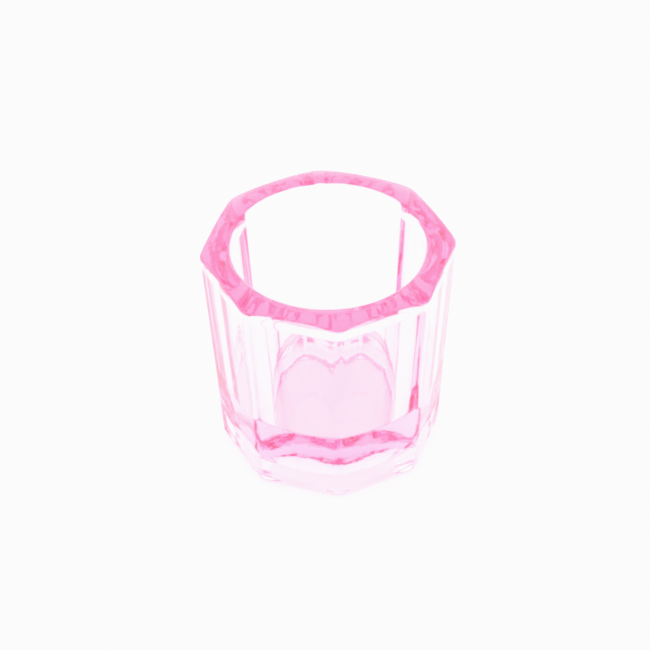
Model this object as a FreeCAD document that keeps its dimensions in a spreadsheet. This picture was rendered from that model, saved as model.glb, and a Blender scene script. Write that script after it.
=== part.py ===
import FreeCAD, Part
import os
import math
import Sketcher

# Octagonal glass dappen dish: one solid piece of pressed, fire-polished glass.
# Frame: millimetres, +Z up, origin at the centre of the foot on the table plane.
# The corners of the octagon lie on the X and Y axes and on the diagonals.

doc = FreeCAD.newDocument("DappenDish")

# ---------------------------------------------------------------- dimensions
sheet = doc.addObject("Spreadsheet::Sheet", "Dims")
DIMS = [
    ("TotalHeight", 28.4, "foot plane to the crest of the lip"),
    ("MouthCornerRadius", 15.28, "sharp corner of the octagon, level with the lip crest"),
    ("FootCornerRadius", 13.20, "sharp corner of the octagon, at the foot plane"),
    ("CornerRound", 2.1, "rounding of the eight upright corner edges"),
    ("BoreTopRadius", 11.48, "round well, at the mouth"),
    ("BoreFloorRadius", 9.94, "round well, where the wall would meet the floor's centre height"),
    ("WellFloorHeight", 9.22, "height of the well floor at its centre"),
    ("WellFloorDrop", 1.03, "how far the floor falls from its centre to the wall"),
    ("WellCornerRound", 0.39, "rounding between the well wall and floor"),
    ("LipCrestRadius", 12.48, "circle on which the lip is highest"),
    ("LipDomeRadius", 5.15, "radius of the domed lip in section"),
    ("LipInnerRound", 0.42, "softened inner edge of the lip"),
    ("LipOuterRound", 0.36, "softened outer edge of the lip"),
    ("FootRound", 1.08, "rounding of the outer bottom edge"),
    ("RecessRadius", 10.44, "hollow in the underside, upright wall"),
    ("RecessDepth", 4.17, "depth of the hollow at its centre"),
    ("RecessSag", 1.7, "how much shallower the hollow's roof is at its wall"),
    ("RecessRound", 0.25, "rounding between the hollow's wall and roof"),
    ("RecessLipRound", 0.15, "softened inner edge of the foot ring"),
]
sheet.set("A1", "name")
sheet.set("B1", "value")
sheet.set("C1", "meaning")
for row, (name, value, meaning) in enumerate(DIMS, start=2):
    sheet.set("A%d" % row, name)
    sheet.set("B%d" % row, repr(value))
    sheet.set("C%d" % row, meaning)
    sheet.setAlias("B%d" % row, name)
doc.recompute()


def dim(name):
    return float(sheet.get(name))


def vec(x, y, z=0.0):
    return FreeCAD.Vector(x, y, z)


def origin_feature(body, role):
    for feature in body.Origin.OriginFeatures:
        if feature.Role == role:
            return feature
    raise RuntimeError("no origin feature " + role)


def bind(sketch, constraint, name, expression):
    sketch.renameConstraint(constraint, name)
    sketch.setExpression("Constraints." + name, expression)


# ------------------------------------------------------------------ the body
body = doc.addObject("PartDesign::Body", "DappenDish")
body.Label = "dappen_dish"
doc.recompute()


def octagon(name, radius_alias):
    """A regular octagon in the foot plane, with one corner on +X."""
    sketch = body.newObject("Sketcher::SketchObject", name)
    sketch.AttachmentSupport = [(origin_feature(body, "XY_Plane"), "")]
    sketch.MapMode = "FlatFace"
    radius = dim(radius_alias)
    pts = [vec(radius * math.cos(math.radians(45.0 * k)),
               radius * math.sin(math.radians(45.0 * k))) for k in range(8)]
    for k in range(8):
        sketch.addGeometry(Part.LineSegment(pts[k], pts[(k + 1) % 8]), False)
    for k in range(8):
        sketch.addConstraint(Sketcher.Constraint("Coincident", k, 2, (k + 1) % 8, 1))
    for k in range(1, 8):
        sketch.addConstraint(Sketcher.Constraint("Equal", 0, k))
    circle = sketch.addGeometry(
        Part.Circle(vec(0, 0), vec(0, 0, 1), radius), True)
    sketch.addConstraint(Sketcher.Constraint("Coincident", circle, 3, -1, 1))
    for k in range(8):
        sketch.addConstraint(Sketcher.Constraint("PointOnObject", k, 1, circle))
    sketch.addConstraint(Sketcher.Constraint("PointOnObject", 0, 1, -1))
    c = sketch.addConstraint(Sketcher.Constraint("Radius", circle, radius))
    bind(sketch, c, "CornerRadius", "Dims." + radius_alias)
    return sketch


foot_outline = octagon("FootOutline", "FootCornerRadius")
doc.recompute()

# The tapered eight-sided block: the flat sides lean outwards, so that the
# octagon grows from the foot radius to the mouth radius over the height.
block = body.newObject("PartDesign::Pad", "Block")
block.Profile = foot_outline
block.Length = dim("TotalHeight")
block.setExpression("Length", "Dims.TotalHeight")
block.TaperAngle = 3.87
block.setExpression(
    "TaperAngle",
    "atan((Dims.MouthCornerRadius - Dims.FootCornerRadius) * cos(22.5 deg) / Dims.TotalHeight)")
doc.recompute()

# The eight upright corners are rounded.
corner_names = []
for i, edge in enumerate(block.Shape.Edges, start=1):
    z0 = edge.Vertexes[0].Point.z
    z1 = edge.Vertexes[-1].Point.z
    if abs(z1 - z0) > dim("TotalHeight") * 0.9:
        corner_names.append("Edge%d" % i)
if len(corner_names) != 8:
    raise RuntimeError("expected eight upright corners, found %d" % len(corner_names))
corners = body.newObject("PartDesign::Fillet", "Corners")
corners.Base = (block, corner_names)
corners.Radius = dim("CornerRound")
corners.setExpression("Radius", "Dims.CornerRound")
doc.recompute()


def section_sketch(name):
    """A sketch in the XZ plane: sketch x is the radius, sketch y is the height."""
    sketch = body.newObject("Sketcher::SketchObject", name)
    sketch.AttachmentSupport = [(origin_feature(body, "XZ_Plane"), "")]
    sketch.MapMode = "FlatFace"
    return sketch


def turn(name, sketch, kind="PartDesign::Groove"):
    """Cut the section's full turn about Z, and check that it took material away."""
    before = body.Tip.Shape.Volume
    cut = body.newObject(kind, name)
    cut.Profile = sketch
    cut.ReferenceAxis = (origin_feature(body, "Z_Axis"), [""])
    cut.Angle = 360.0
    cut.Reversed = False
    doc.recompute()
    after = cut.Shape.Volume
    if not after < before - 1e-3:
        raise RuntimeError(name + " took nothing away")
    return cut


# The lip is a dome in section: highest near the bore and falling outwards, so
# the flat sides meet it in eight shallow scallops.
H = dim("TotalHeight")
crest = dim("LipCrestRadius")
dome = dim("LipDomeRadius")
far = crest + dome * 0.9
drop = dome - math.sqrt(dome ** 2 - (far - crest) ** 2)
lip = section_sketch("LipSection")
a = lip.addGeometry(Part.ArcOfCircle(
    Part.Circle(vec(crest, H - dome), vec(0, 0, 1), dome),
    math.asin((dome - drop) / dome), math.pi / 2.0), False)
l1 = lip.addGeometry(Part.LineSegment(vec(crest, H), vec(crest, H + 2.0)), False)
l2 = lip.addGeometry(Part.LineSegment(vec(crest, H + 2.0), vec(far, H + 2.0)), False)
l3 = lip.addGeometry(Part.LineSegment(vec(far, H + 2.0), vec(far, H - drop)), False)
lip.addConstraint(Sketcher.Constraint("Coincident", a, 2, l1, 1))
lip.addConstraint(Sketcher.Constraint("Coincident", l1, 2, l2, 1))
lip.addConstraint(Sketcher.Constraint("Coincident", l2, 2, l3, 1))
lip.addConstraint(Sketcher.Constraint("Coincident", l3, 2, a, 1))
lip.addConstraint(Sketcher.Constraint("Vertical", l1))
lip.addConstraint(Sketcher.Constraint("Horizontal", l2))
lip.addConstraint(Sketcher.Constraint("Vertical", l3))
lip.addConstraint(Sketcher.Constraint("Vertical", a, 3, a, 2))
c = lip.addConstraint(Sketcher.Constraint("DistanceX", -1, 1, a, 2, crest))
bind(lip, c, "Crest", "Dims.LipCrestRadius")
c = lip.addConstraint(Sketcher.Constraint("DistanceY", -1, 1, a, 2, H))
bind(lip, c, "Top", "Dims.TotalHeight")
c = lip.addConstraint(Sketcher.Constraint("Radius", a, dome))
bind(lip, c, "Dome", "Dims.LipDomeRadius")
lip.addConstraint(Sketcher.Constraint("DistanceY", l1, 1, l1, 2, 2.0))
c = lip.addConstraint(Sketcher.Constraint("DistanceX", l2, 1, l2, 2, far - crest))
bind(lip, c, "Reach", "Dims.LipDomeRadius * 0.9")
doc.recompute()
lip_cut = turn("LipDome", lip)

# The round well: a slightly tapered bore whose floor is gently domed, highest
# at its centre, with a rounded corner between wall and floor.
rt = dim("BoreTopRadius")
rf = dim("BoreFloorRadius")
zf = dim("WellFloorHeight")
fall = dim("WellFloorDrop")
slope = (rt - rf) / (H - zf)
floor_dome = (rf ** 2 + fall ** 2) / (2.0 * fall)
# The wall line is carried down past the floor's edge, where it meets the dome.
wall_foot_r = rf - slope * fall
wall_foot_z = zf - floor_dome + math.sqrt(floor_dome ** 2 - wall_foot_r ** 2)
well = section_sketch("WellSection")
axis_line = well.addGeometry(Part.LineSegment(vec(0, H + 1.0), vec(0, zf)), False)
start_angle = math.atan2(wall_foot_z - (zf - floor_dome), wall_foot_r)
floor_arc = well.addGeometry(Part.ArcOfCircle(
    Part.Circle(vec(0, zf - floor_dome), vec(0, 0, 1), floor_dome),
    start_angle, math.pi / 2.0), False)
wall_line = well.addGeometry(Part.LineSegment(
    vec(wall_foot_r, wall_foot_z), vec(rt, H)), False)
rise_line = well.addGeometry(Part.LineSegment(vec(rt, H), vec(rt, H + 1.0)), False)
top_line = well.addGeometry(Part.LineSegment(vec(rt, H + 1.0), vec(0, H + 1.0)), False)
well.addConstraint(Sketcher.Constraint("Coincident", axis_line, 2, floor_arc, 2))
well.addConstraint(Sketcher.Constraint("Coincident", floor_arc, 1, wall_line, 1))
well.addConstraint(Sketcher.Constraint("Coincident", wall_line, 2, rise_line, 1))
well.addConstraint(Sketcher.Constraint("Coincident", rise_line, 2, top_line, 1))
well.addConstraint(Sketcher.Constraint("Coincident", top_line, 2, axis_line, 1))
well.addConstraint(Sketcher.Constraint("PointOnObject", axis_line, 1, -2))
well.addConstraint(Sketcher.Constraint("PointOnObject", axis_line, 2, -2))
well.addConstraint(Sketcher.Constraint("PointOnObject", floor_arc, 3, -2))
well.addConstraint(Sketcher.Constraint("Vertical", rise_line))
well.addConstraint(Sketcher.Constraint("Horizontal", top_line))
c = well.addConstraint(Sketcher.Constraint("DistanceY", -1, 1, axis_line, 2, zf))
bind(well, c, "Floor", "Dims.WellFloorHeight")
c = well.addConstraint(Sketcher.Constraint("Radius", floor_arc, floor_dome))
bind(well, c, "FloorDome",
     "(Dims.BoreFloorRadius ^ 2 + Dims.WellFloorDrop ^ 2) / (2 * Dims.WellFloorDrop)")
c = well.addConstraint(Sketcher.Constraint("DistanceX", -1, 1, wall_line, 1, wall_foot_r))
bind(well, c, "FloorEdge",
     "Dims.BoreFloorRadius - Dims.WellFloorDrop * (Dims.BoreTopRadius - Dims.BoreFloorRadius)"
     " / (Dims.TotalHeight - Dims.WellFloorHeight)")
c = well.addConstraint(Sketcher.Constraint("DistanceX", -1, 1, wall_line, 2, rt))
bind(well, c, "MouthEdge", "Dims.BoreTopRadius")
c = well.addConstraint(Sketcher.Constraint("DistanceY", -1, 1, wall_line, 2, H))
bind(well, c, "Mouth", "Dims.TotalHeight")
well.addConstraint(Sketcher.Constraint("DistanceY", rise_line, 1, rise_line, 2, 1.0))
doc.recompute()
well_cut = turn("Well", well)


def edges_where(shape, test):
    names = []
    for i, edge in enumerate(shape.Edges, start=1):
        if test(edge):
            names.append("Edge%d" % i)
    return names


def samples(edge, count=7):
    first, last = edge.FirstParameter, edge.LastParameter
    return [edge.valueAt(first + (last - first) * k / (count - 1.0)) for k in range(count)]


def circle_near(radius, z_low, z_high, tolerance=0.15):
    def test(edge):
        for p in samples(edge):
            if abs(math.hypot(p.x, p.y) - radius) > tolerance:
                return False
            if not (z_low <= p.z <= z_high):
                return False
        return True
    return test


def fillet(name, base, names, alias):
    if not names:
        raise RuntimeError("no edges for " + name)
    f = body.newObject("PartDesign::Fillet", name)
    f.Base = (base, names)
    f.Radius = dim(alias)
    f.setExpression("Radius", "Dims." + alias)
    doc.recompute()
    if "Invalid" in f.State or "Error" in f.State or f.Shape.isNull():
        raise RuntimeError(name + " failed")
    return f


# Soft corner at the foot of the well.
well_round = fillet(
    "WellCorner", well_cut,
    edges_where(well_cut.Shape, circle_near(wall_foot_r, wall_foot_z - 0.1, wall_foot_z + 0.1)),
    "WellCornerRound")

# Fire-polished inner edge of the lip.
inner_round = fillet(
    "LipInner", well_round,
    edges_where(well_round.Shape, circle_near(rt, H - 0.6, H + 0.1)),
    "LipInnerRound")


# Fire-polished outer edge of the lip, all the way round the octagon.
def outer_lip(edge):
    for p in samples(edge):
        if math.hypot(p.x, p.y) < rt + 1.4 or p.z < H - 4.0:
            return False
    return abs(edge.Vertexes[0].Point.z - edge.Vertexes[-1].Point.z) < 2.0


outer_round = fillet("LipOuter", inner_round,
                     edges_where(inner_round.Shape, outer_lip), "LipOuterRound")


# Rounded outer bottom edge.
def foot_edge(edge):
    return all(abs(p.z) < 1e-4 for p in samples(edge))


foot_round = fillet("FootEdge", outer_round,
                    edges_where(outer_round.Shape, foot_edge), "FootRound")

# The hollow in the underside: an upright round wall, a domed roof and a
# rounded corner between them, so that the dish stands on a narrow ring.
rr = dim("RecessRadius")
rd = dim("RecessDepth")
sag = dim("RecessSag")
roof = (rr ** 2 + sag ** 2) / (2.0 * sag)
recess = section_sketch("RecessSection")
half = math.asin(rr / roof)
ra = recess.addGeometry(Part.ArcOfCircle(
    Part.Circle(vec(0, rd - roof), vec(0, 0, 1), roof),
    math.pi / 2.0 - half, math.pi / 2.0), False)
rl1 = recess.addGeometry(Part.LineSegment(vec(0, rd), vec(0, -1.0)), False)
rl2 = recess.addGeometry(Part.LineSegment(vec(0, -1.0), vec(rr, -1.0)), False)
rl3 = recess.addGeometry(Part.LineSegment(vec(rr, -1.0), vec(rr, rd - sag)), False)
recess.addConstraint(Sketcher.Constraint("Coincident", ra, 2, rl1, 1))
recess.addConstraint(Sketcher.Constraint("Coincident", rl1, 2, rl2, 1))
recess.addConstraint(Sketcher.Constraint("Coincident", rl2, 2, rl3, 1))
recess.addConstraint(Sketcher.Constraint("Coincident", rl3, 2, ra, 1))
recess.addConstraint(Sketcher.Constraint("PointOnObject", rl1, 1, -2))
recess.addConstraint(Sketcher.Constraint("PointOnObject", rl1, 2, -2))
recess.addConstraint(Sketcher.Constraint("PointOnObject", ra, 3, -2))
recess.addConstraint(Sketcher.Constraint("Horizontal", rl2))
recess.addConstraint(Sketcher.Constraint("Vertical", rl3))
c = recess.addConstraint(Sketcher.Constraint("DistanceX", -1, 1, rl3, 1, rr))
bind(recess, c, "Wall", "Dims.RecessRadius")
c = recess.addConstraint(Sketcher.Constraint("DistanceY", -1, 1, ra, 2, rd))
bind(recess, c, "Depth", "Dims.RecessDepth")
c = recess.addConstraint(Sketcher.Constraint("DistanceY", -1, 1, ra, 1, rd - sag))
bind(recess, c, "Shoulder", "Dims.RecessDepth - Dims.RecessSag")
recess.addConstraint(Sketcher.Constraint("DistanceY", rl1, 2, -1, 1, 1.0))
doc.recompute()
recess_cut = turn("Recess", recess)

roof_round = fillet(
    "RecessCorner", recess_cut,
    edges_where(recess_cut.Shape, circle_near(rr, rd - sag - 0.1, rd - sag + 0.1)),
    "RecessRound")
ring_round = fillet(
    "RecessLip", roof_round,
    edges_where(roof_round.Shape, circle_near(rr, -0.01, 0.01)),
    "RecessLipRound")

body.Tip = ring_round
body.Placement = FreeCAD.Placement(vec(0, 0, 0), FreeCAD.Rotation(0, 0, 0))
doc.recompute()

# -------------------------------------------------------------------- checks
for obj in doc.Objects:
    if "Invalid" in obj.State or "Error" in obj.State:
        raise RuntimeError("%s is %s" % (obj.Name, obj.State))

PIECES = [body]
for piece in PIECES:
    shape = piece.Shape
    if shape.isNull() or not shape.isValid():
        raise RuntimeError(piece.Label + " has no valid shape")
    if len(shape.Solids) != 1:
        raise RuntimeError(piece.Label + " is not one solid")
    box = shape.optimalBoundingBox() if hasattr(shape, "optimalBoundingBox") else shape.BoundBox
    print(piece.Label, "volume %.1f mm3" % shape.Volume,
          "x %.3f..%.3f y %.3f..%.3f z %.3f..%.3f" % (
              box.XMin, box.XMax, box.YMin, box.YMax, box.ZMin, box.ZMax))

os.makedirs("parts", exist_ok=True)
for piece in PIECES:
    piece.Shape.exportStep("parts/" + piece.Label + ".step")
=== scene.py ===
import math

import bpy
import numpy as np
from mathutils import Matrix, Vector


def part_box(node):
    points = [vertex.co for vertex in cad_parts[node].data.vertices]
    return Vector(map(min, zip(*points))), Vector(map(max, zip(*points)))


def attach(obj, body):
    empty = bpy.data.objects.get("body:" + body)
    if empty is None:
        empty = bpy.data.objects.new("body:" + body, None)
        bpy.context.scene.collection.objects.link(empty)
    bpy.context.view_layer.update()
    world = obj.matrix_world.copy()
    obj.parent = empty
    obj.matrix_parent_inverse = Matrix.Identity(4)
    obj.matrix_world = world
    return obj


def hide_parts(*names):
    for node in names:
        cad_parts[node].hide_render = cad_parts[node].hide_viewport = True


# One piece of pressed, fire-polished pink glass: an octagonal dappen dish.
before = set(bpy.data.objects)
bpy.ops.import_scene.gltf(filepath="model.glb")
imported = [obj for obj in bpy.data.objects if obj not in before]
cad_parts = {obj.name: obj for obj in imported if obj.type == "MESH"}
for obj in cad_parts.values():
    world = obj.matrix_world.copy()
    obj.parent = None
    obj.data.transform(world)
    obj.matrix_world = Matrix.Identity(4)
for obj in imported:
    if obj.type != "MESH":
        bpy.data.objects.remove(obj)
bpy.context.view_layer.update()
NODE = "dappen_dish"
nlo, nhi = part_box(NODE)
MM = 0.001

# ------------------------------------------------------------ shape, in mm
# The same sizes that the CAD solid is driven by.
S = {
    "mouth": 15.28,        # sharp corner of the octagon, level with the lip crest
    "foot": 13.20,         # sharp corner of the octagon, at the foot plane
    "corner": 2.1,        # rounding of the upright corners
    "bore_top": 11.48,
    "bore_floor": 9.94,
    "floor_z": 9.22,       # well floor, at its centre
    "floor_fall": 1.03,    # how far it falls to the wall
    "well_w": 0.39,
    "crest": 12.48,        # circle on which the lip is highest
    "dome": 5.15,
    "lip_in": 0.42,
    "lip_out": 0.36,
    "foot_f": 1.08,
    "recess_r": 10.44,      # the hollow underneath
    "recess_d": 4.17,
    "recess_s": 1.7,
    "recess_f": 0.25,
    "recess_g": 0.15,
}
H = (nhi.z - nlo.z) / MM   # foot plane to lip crest
C225 = math.cos(math.radians(22.5))
T225 = math.tan(math.radians(22.5))


def octagon_radius(phi, sharp):
    """Outline radius at phi from a flat's centre line, for a rounded octagon."""
    a = sharp * C225
    rc = S["corner"]
    phi = abs(phi)
    if a * math.tan(phi) <= (a - rc) * T225:
        return a / math.cos(phi)
    c = (a - rc) / C225
    d = math.radians(22.5) - phi
    return c * math.cos(d) + math.sqrt(max(rc * rc - (c * math.sin(d)) ** 2, 0.0))


def arc(cx, cz, r, a0, a1, n):
    """n points along an arc, without its first point."""
    t = np.linspace(a0, a1, n + 1)[1:]
    return np.stack([cx + r * np.cos(t), cz + r * np.sin(t)], 1)


def run(p, q, n):
    t = np.linspace(0.0, 1.0, n + 1)[1:, None]
    return np.array(p)[None] * (1 - t) + np.array(q)[None] * t


def touch(px, pz, ux, uz, cx, cz, r, far=True):
    """Where the line from (px, pz) along (ux, uz) is r away from (cx, cz)."""
    wx, wz = px - cx, pz - cz
    b = wx * ux + wz * uz
    c = wx * wx + wz * wz - r * r
    root = math.sqrt(max(b * b - c, 0.0))
    t = -b + root if far else -b - root
    return px + ux * t, pz + uz * t


def section(phi):
    """Closed section in the (radius, height) half plane: from the centre of the
    hollow underneath, round the foot ring, up the side, over the lip and down
    the well to the centre of its floor. Every curve is tangent to the next."""
    segs = [np.array([[0.0, S["recess_d"]]])]
    # the hollow: domed roof, rounded corner, upright wall, softened edge
    rr, f, g = S["recess_r"], S["recess_f"], S["recess_g"]
    roof = (rr ** 2 + S["recess_s"] ** 2) / (2 * S["recess_s"])
    zr = S["recess_d"] - roof
    zc = zr + math.sqrt((roof - f) ** 2 - (rr - f) ** 2)
    at = math.atan2(zc - zr, rr - f)
    segs.append(arc(0.0, zr, roof, math.pi / 2, at, 26))
    segs.append(arc(rr - f, zc, f, at, 0.0, 20))
    segs.append(run(segs[-1][-1], (rr, g), 8))
    segs.append(arc(rr + g, g, g, math.pi, 1.5 * math.pi, 8))
    # the foot ring and the side
    r0, r1 = octagon_radius(phi, S["foot"]), octagon_radius(phi, S["mouth"])
    L = math.hypot(r1 - r0, H)
    ux, uz = (r1 - r0) / L, H / L
    nx, nz = -uz, ux
    q = S["foot_f"]
    cx = r0 + (r1 - r0) * q / H - q / uz
    segs.append(run(segs[-1][-1], (cx, 0.0), 8))
    segs.append(arc(cx, q, q, -math.pi / 2, math.atan2(-nz, -nx), 18))
    # the lip: side, outer round, dome, inner round
    dcx, dcz, dome = S["crest"], H - S["dome"], S["dome"]
    go, gi = S["lip_out"], S["lip_in"]
    ox, oz = touch(r0 + nx * go, nz * go, ux, uz, dcx, dcz, dome - go)
    segs.append(run(segs[-1][-1], (ox - nx * go, oz - nz * go), 44))
    a1 = math.atan2(oz - dcz, ox - dcx)
    segs.append(arc(ox, oz, go, math.atan2(-nz, -nx), a1, 14))
    zf, rf, rt = S["floor_z"], S["bore_floor"], S["bore_top"]
    Lb = math.hypot(rt - rf, H - zf)
    vx, vz = (rt - rf) / Lb, (H - zf) / Lb
    mx, mz = vz, -vx
    ix, iz = touch(rf + mx * gi, zf + mz * gi, vx, vz, dcx, dcz, dome - gi)
    a2 = math.atan2(iz - dcz, ix - dcx)
    segs.append(arc(dcx, dcz, dome, a1, a2, 26))
    a3 = math.atan2(-mz, -mx)
    if a3 < a2:
        a3 += 2 * math.pi
    segs.append(arc(ix, iz, gi, a2, a3, 14))
    # the well: wall, rounded corner, domed floor
    w, fall = S["well_w"], S["floor_fall"]
    big = (rf * rf + fall * fall) / (2 * fall)
    fz = zf - big
    kx, kz = touch(rf - mx * w, zf - mz * w, vx, vz, 0.0, fz, big + w)
    aw = math.atan2(mz, mx)
    af = math.atan2(fz - kz, -kx)
    if af > aw:
        af -= 2 * math.pi
    segs.append(run(segs[-1][-1], (kx + mx * w, kz + mz * w), 44))
    segs.append(arc(kx, kz, w, aw, af, 16))
    segs.append(arc(0.0, fz, big, math.atan2(kz - fz, kx), math.pi / 2, 26))
    return np.concatenate(segs, 0)


def columns(nf=18, nc=20):
    """Angles round one eighth: evenly along the flat, closer round the corner."""
    a = 0.5 * (S["mouth"] + S["foot"]) * C225
    flat = math.atan((a - S["corner"]) * T225 / a)
    rel = [-flat + 2 * flat * i / nf for i in range(nf)]
    off = list(rel)
    for i in range(nc):
        p = flat + 2 * (math.radians(22.5) - flat) * i / nc
        off.append(p)
        rel.append(p if p <= math.radians(22.5) else p - math.radians(45))
    return np.array(off), rel


def glass_mesh(name):
    off, rel = columns()
    known = {}
    for r in rel:
        known.setdefault(round(abs(r), 6), section(abs(r)))
    eighth = np.array([known[round(abs(r), 6)] for r in rel])
    theta = np.concatenate([math.radians(45 * j + 22.5) + off for j in range(8)])
    sec = np.concatenate([eighth] * 8, 0)
    n = len(theta)
    mid = sec[:, 1:-1]
    ring = np.stack([mid[:, :, 0] * np.cos(theta)[:, None],
                     mid[:, :, 0] * np.sin(theta)[:, None],
                     mid[:, :, 1]], 2).transpose(1, 0, 2)
    m = ring.shape[0]
    co = np.concatenate([[[0, 0, sec[0, 0, 1]]], ring.reshape(-1, 3), [[0, 0, sec[0, -1, 1]]]], 0)
    i = np.arange(n)
    k = (i + 1) % n
    faces = [(0, 1 + b, 1 + a) for a, b in zip(i, k)]
    for j in range(m - 1):
        a0, b0 = 1 + j * n, 1 + (j + 1) * n
        faces += [(a0 + a, a0 + b, b0 + b, b0 + a) for a, b in zip(i, k)]
    a0 = 1 + (m - 1) * n
    faces += [(a0 + a, a0 + b, len(co) - 1) for a, b in zip(i, k)]
    mesh = bpy.data.meshes.new(name)
    mesh.from_pydata((co * MM).tolist(), [], faces)
    mesh.validate()
    mesh.polygons.foreach_set("use_smooth", [True] * len(mesh.polygons))
    mesh.update()
    return mesh


mesh = glass_mesh("dish_glass")
dish = bpy.data.objects.new("dish_glass", mesh)
bpy.context.scene.collection.objects.link(dish)

# ---------------------------------------------------------------- material
# Clear glass with the colour in its body, so thin walls stay nearly white and
# the long paths through the lip and the base turn deep pink. The skin has what
# pressing and fire-polishing leave: a slow ripple, faint upright draw lines
# from the plunger and patches that are a touch less polished.
M = {
    "density": 41.0,
    "absorb": (1.0, 0.0, 0.48),
    "ior": 1.5,
    "ripple": 0.00008,      # height of the slow ripple, metres
    "ripple_scale": 90.0,   # per metre
    "reflow": 0.00045,      # the finer, deeper one where the flame ran the glass
    "reflow_scale": 120.0,
    "draw": 0.00003,
    "rough_low": 0.012,
    "rough_high": 0.05,
    "tint": (1.0, 0.985, 0.982),
}
mat = bpy.data.materials.new("pink_glass")
mat.use_nodes = True
nt = mat.node_tree
nt.nodes.clear()


def noise(coords, scale, detail, rough=0.5):
    made = nt.nodes.new("ShaderNodeTexNoise")
    made.inputs["Scale"].default_value = scale
    made.inputs["Detail"].default_value = detail
    made.inputs["Roughness"].default_value = rough
    nt.links.new(coords, made.inputs["Vector"])
    return made.outputs["Fac"]


out = nt.nodes.new("ShaderNodeOutputMaterial")
glass = nt.nodes.new("ShaderNodeBsdfPrincipled")
glass.inputs["IOR"].default_value = M["ior"]
glass.inputs["Transmission Weight"].default_value = 1.0
nt.links.new(glass.outputs["BSDF"], out.inputs["Surface"])
vol = nt.nodes.new("ShaderNodeVolumeAbsorption")
vol.inputs["Color"].default_value = (*M["absorb"], 1.0)
vol.inputs["Density"].default_value = M["density"]
nt.links.new(vol.outputs["Volume"], out.inputs["Volume"])

place = nt.nodes.new("ShaderNodeTexCoord")
upright = nt.nodes.new("ShaderNodeMapping")
upright.inputs["Scale"].default_value = (1.0, 1.0, 0.07)
nt.links.new(place.outputs["Object"], upright.inputs["Vector"])

patches = nt.nodes.new("ShaderNodeMapRange")
patches.inputs["From Min"].default_value = 0.35
patches.inputs["From Max"].default_value = 0.70
patches.inputs["To Min"].default_value = M["rough_low"]
patches.inputs["To Max"].default_value = M["rough_high"]
nt.links.new(noise(place.outputs["Object"], 140.0, 3.0), patches.inputs["Value"])
nt.links.new(patches.outputs["Result"], glass.inputs["Roughness"])

tint = nt.nodes.new("ShaderNodeMix")
tint.data_type = "RGBA"
tint.inputs["A"].default_value = (1.0, 1.0, 1.0, 1.0)
tint.inputs["B"].default_value = (*M["tint"], 1.0)
nt.links.new(noise(place.outputs["Object"], 260.0, 4.0, 0.6), tint.inputs["Factor"])
nt.links.new(tint.outputs["Result"], glass.inputs["Base Color"])

ripple = nt.nodes.new("ShaderNodeBump")
ripple.inputs["Strength"].default_value = 1.0
ripple.inputs["Distance"].default_value = M["ripple"]
nt.links.new(noise(place.outputs["Object"], M["ripple_scale"], 1.0), ripple.inputs["Height"])


def band(z0, z1):
    """0 to 1, smoothly, between two heights on the dish."""
    made = nt.nodes.new("ShaderNodeMapRange")
    made.interpolation_type = "SMOOTHSTEP"
    made.inputs["From Min"].default_value = z0
    made.inputs["From Max"].default_value = z1
    nt.links.new(where.outputs["Z"], made.inputs["Value"])
    return made.outputs["Result"]


where = nt.nodes.new("ShaderNodeSeparateXYZ")
nt.links.new(place.outputs["Object"], where.inputs[0])
ends = nt.nodes.new("ShaderNodeMath")
ends.operation = "ADD"
nt.links.new(band(0.0262, 0.0277), ends.inputs[0])
nt.links.new(band(0.0060, 0.0025), ends.inputs[1])
runs = nt.nodes.new("ShaderNodeMath")
runs.operation = "MULTIPLY"
nt.links.new(ends.outputs[0], runs.inputs[0])
nt.links.new(noise(place.outputs["Object"], M["reflow_scale"], 1.0), runs.inputs[1])
reflow = nt.nodes.new("ShaderNodeBump")
reflow.inputs["Strength"].default_value = 1.0
reflow.inputs["Distance"].default_value = M["reflow"]
nt.links.new(runs.outputs[0], reflow.inputs["Height"])
nt.links.new(ripple.outputs["Normal"], reflow.inputs["Normal"])
draw = nt.nodes.new("ShaderNodeBump")
draw.inputs["Strength"].default_value = 1.0
draw.inputs["Distance"].default_value = M["draw"]
nt.links.new(noise(upright.outputs["Vector"], 520.0, 2.0), draw.inputs["Height"])
nt.links.new(reflow.outputs["Normal"], draw.inputs["Normal"])
nt.links.new(draw.outputs["Normal"], glass.inputs["Normal"])
mesh.materials.append(mat)

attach(dish, "root")
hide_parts(NODE)

# ------------------------------------------------------- floor and lighting
W = {
    "top": 1.33,         # overhead, and level from behind and from in front
    "back": 1.50,
    "front": 2.05,
    "floor": 0.90,
    "gain": 1.19,
    "curve": 2.0,
}
fm = bpy.data.meshes.new("floor")
fm.from_pydata([(-3, -3, 0), (3, -3, 0), (3, 3, 0), (-3, 3, 0)], [], [(0, 1, 2, 3)])
floor = bpy.data.objects.new("floor", fm)
floor.location = (0, 0, -0.00005)
bpy.context.scene.collection.objects.link(floor)
fmat = bpy.data.materials.new("floor_white")
fmat.use_nodes = True
fb = fmat.node_tree.nodes["Principled BSDF"]
fb.inputs["Base Color"].default_value = (W["floor"], W["floor"], W["floor"], 1)
fb.inputs["Roughness"].default_value = 1.0
fb.inputs["Specular IOR Level"].default_value = 0.0
fm.materials.append(fmat)

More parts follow.
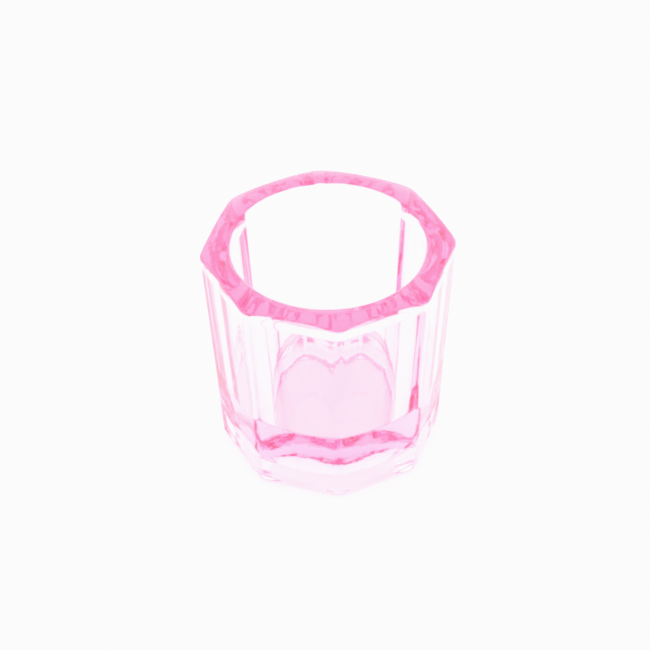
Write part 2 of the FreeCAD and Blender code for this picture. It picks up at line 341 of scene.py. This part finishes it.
# A white studio tent: brightest level from in front of the dish, softer behind
# and overhead.
world = bpy.data.worlds.new("studio")
bpy.context.scene.world = world
world.use_nodes = True
wn = world.node_tree
wn.nodes.clear()
wout = wn.nodes.new("ShaderNodeOutputWorld")
bg = wn.nodes.new("ShaderNodeBackground")
wn.links.new(bg.outputs[0], wout.inputs[0])
tc = wn.nodes.new("ShaderNodeTexCoord")
sep = wn.nodes.new("ShaderNodeSeparateXYZ")
wn.links.new(tc.outputs["Generated"], sep.inputs[0])
level = wn.nodes.new("ShaderNodeMapRange")
level.inputs["From Min"].default_value = -1.0
level.inputs["From Max"].default_value = 1.0
level.inputs["To Min"].default_value = W["front"] * W["gain"]
level.inputs["To Max"].default_value = W["back"] * W["gain"]
wn.links.new(sep.outputs["Y"], level.inputs["Value"])
rise = wn.nodes.new("ShaderNodeMapRange")
rise.inputs["From Min"].default_value = 0.0
rise.inputs["From Max"].default_value = 1.0
rise.inputs["To Max"].default_value = W["top"] * W["gain"]
wn.links.new(sep.outputs["Z"], rise.inputs["Value"])
wn.links.new(level.outputs[0], rise.inputs["To Min"])
wn.links.new(rise.outputs[0], bg.inputs["Strength"])

# ------------------------------------------------------------------ camera
CAM = {
    "dist": 387.0, "elev": 40.55, "azim": -93.94, "lens_px": 3322.0,
    "tx": -0.532, "tz": -9.445, "roll": -1.03, "aim_z": 28.45,
}
e = math.radians(CAM["elev"])
az = math.radians(CAM["azim"])
outward = Vector((math.cos(e) * math.cos(az), math.cos(e) * math.sin(az), math.sin(e)))
right = Vector((-math.sin(az), math.cos(az), 0.0))
up = outward.cross(right)
target = Vector((0, 0, CAM["aim_z"])) + right * CAM["tx"] + up * CAM["tz"]
position = target + outward * CAM["dist"]
cam_data = bpy.data.cameras.new("camera")
cam = bpy.data.objects.new("camera", cam_data)
bpy.context.scene.collection.objects.link(cam)
cam_data.sensor_width = 36.0
cam_data.lens = CAM["lens_px"] / 650.0 * 36.0
cam_data.clip_start = 0.01
cam_data.clip_end = 20.0
rot = Matrix((right, up, outward)).transposed()
rot = rot @ Matrix.Rotation(math.radians(CAM["roll"]), 3, "Z")
cam.matrix_world = Matrix.Translation(position * MM) @ rot.to_4x4()
bpy.context.scene.camera = cam

# ------------------------------------------------------- high-key exposure
sc = bpy.context.scene
vs = sc.view_settings
vs.view_transform = "Standard"
vs.look = "None"
vs.exposure = 0.0
vs.gamma = 1.0
vs.use_curve_mapping = True
cm = vs.curve_mapping
cm.extend = "HORIZONTAL"
curve = cm.curves[3]
shoulder = [(x, 0.967 * (1 - (1 - x) ** W["curve"]))
            for x in (0.0, 0.1, 0.25, 0.4, 0.55, 0.7, 0.85, 1.0)]
while len(curve.points) > 2:
    curve.points.remove(curve.points[1])
curve.points[0].location = shoulder[0]
curve.points[-1].location = shoulder[-1]
for point in shoulder[1:-1]:
    curve.points.new(*point)
cm.update()

cy = sc.cycles
cy.caustics_reflective = True
cy.caustics_refractive = True
cy.max_bounces = 32
cy.transmission_bounces = 32
cy.glossy_bounces = 16
cy.diffuse_bounces = 6
cy.transparent_max_bounces = 16
cy.blur_glossy = 0.0
cy.sample_clamp_indirect = 8.0
cy.filter_width = 2.0
